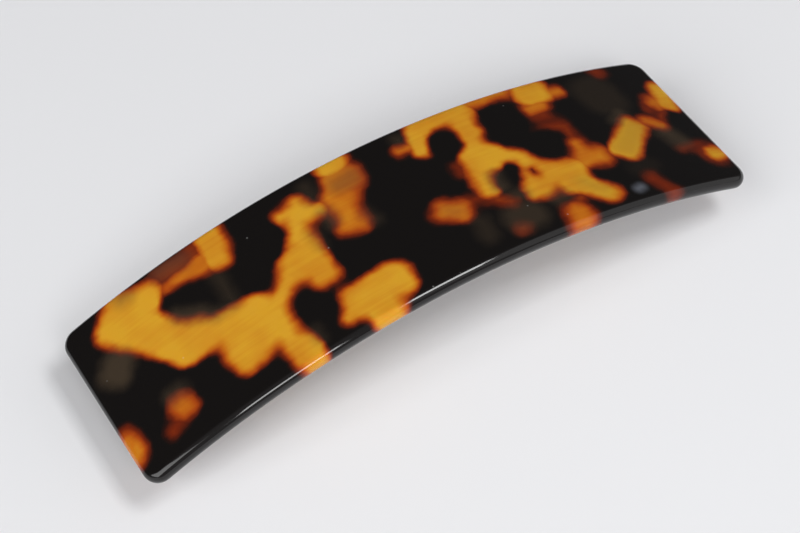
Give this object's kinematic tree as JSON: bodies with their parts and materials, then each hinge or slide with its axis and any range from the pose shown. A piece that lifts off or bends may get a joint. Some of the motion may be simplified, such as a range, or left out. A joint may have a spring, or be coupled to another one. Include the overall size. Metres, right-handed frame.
{
  "type": "hair barrette",
  "caption": "Curved rectangular hair barrette: polished tortoiseshell acetate plate on a squeeze-release spring clasp with a hinged closing arm.",
  "frame": {"origin": "middle of the footprint, on the surface that the closed clasp stands on", "axes": "+X along the plate from the hinge end to the catch end, +Y across the plate, +Z out of its crown"},
  "size_m": [0.0856, 0.0254, 0.0165],
  "materials": {
    "tortoiseshell_acetate": "polished, mottled black and amber",
    "nickel_plate": "nickel plated, satin",
    "spring_steel": "plain spring steel",
    "rivet_steel": "bright"
  },
  "bodies": {
    "plate": {"acetate_plate": "tortoiseshell_acetate", "clasp_bar": "nickel_plate", "tension_bar": "spring_steel", "catch_saddle": "spring_steel", "catch_rivet": "rivet_steel", "hinge_pin": "rivet_steel", "plate_rivet_hinge_outer": "rivet_steel", "plate_rivet_hinge_inner": "rivet_steel", "plate_rivet_catch_inner": "rivet_steel", "plate_rivet_catch_outer": "rivet_steel"},
    "arm": {"closing_arm": "nickel_plate"},
    "leaf_front": {"catch_leaf_front": "spring_steel"},
    "leaf_back": {"catch_leaf_back": "spring_steel"}
  },
  "joints": [
    {"name": "arm_hinge", "type": "hinge", "parent": "plate", "child": "arm", "pos_m": [-0.03395, 0, 0.00232], "axis": [0, 1, 0], "range_deg": [0, 70], "deforming": ["catch_leaf_front", "catch_leaf_back"]},
    {"name": "catch_squeeze_front", "type": "hinge", "parent": "plate", "child": "leaf_front", "pos_m": [0.03542, -0.00265, 0.00573], "axis": [0.9373, 0, -0.3486], "range_deg": [0, 10], "stiffness_Nm_per_rad": 0.1},
    {"name": "catch_squeeze_back", "type": "hinge", "parent": "plate", "child": "leaf_back", "pos_m": [0.03542, 0.00265, 0.00573], "axis": [-0.9373, 0, 0.3486], "range_deg": [0, 10], "stiffness_Nm_per_rad": 0.1}
  ]
}
